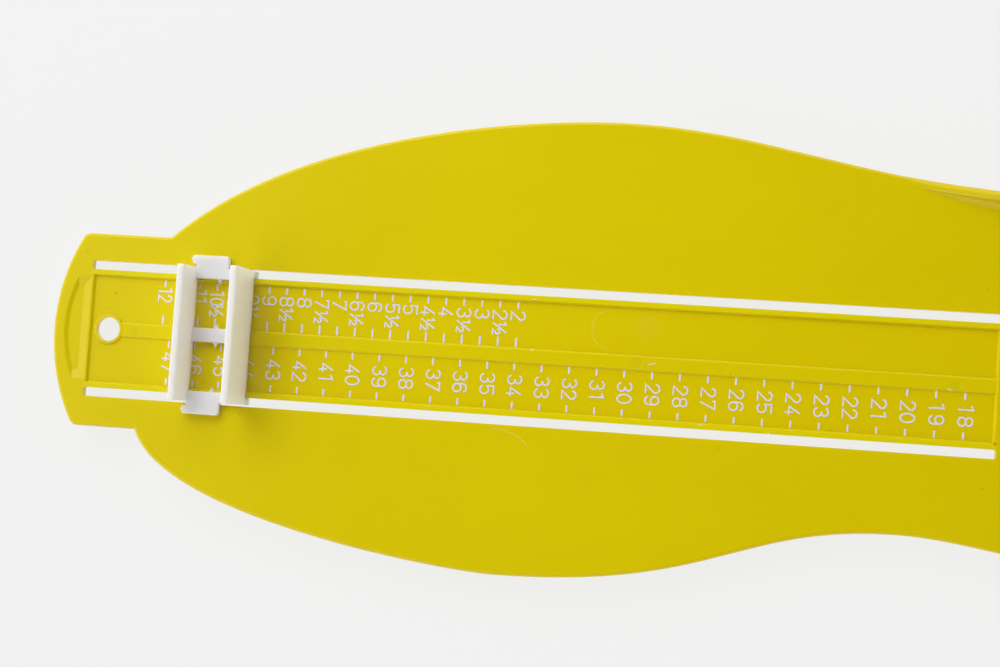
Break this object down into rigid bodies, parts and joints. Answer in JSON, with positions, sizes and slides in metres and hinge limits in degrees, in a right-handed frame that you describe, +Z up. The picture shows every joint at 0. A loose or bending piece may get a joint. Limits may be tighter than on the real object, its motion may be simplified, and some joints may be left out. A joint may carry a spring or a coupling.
{
  "type": "foot measuring device",
  "caption": "Sole-shaped plate with a heel cup and a numbered strip between two slots, and a slider that clips through the slots and meets the toes.",
  "frame": {"origin": "centre of the whole's box in plan, on the surface that the plate stands on", "axes": "+X along the device towards the toe end, +Y towards the arch side, +Z up"},
  "size_m": [0.3454, 0.111, 0.034],
  "materials": {
    "yellow_plastic": "satin moulded",
    "white_plastic": "satin, slightly translucent"
  },
  "bodies": {
    "plate": {"base_plate": "yellow_plastic"},
    "slider": {"slider": "white_plastic"}
  },
  "joints": [
    {"name": "slider_travel", "type": "slide", "parent": "plate", "child": "slider", "axis": [1, 0, 0], "range_m": [-0.1799, 0.0252]}
  ]
}
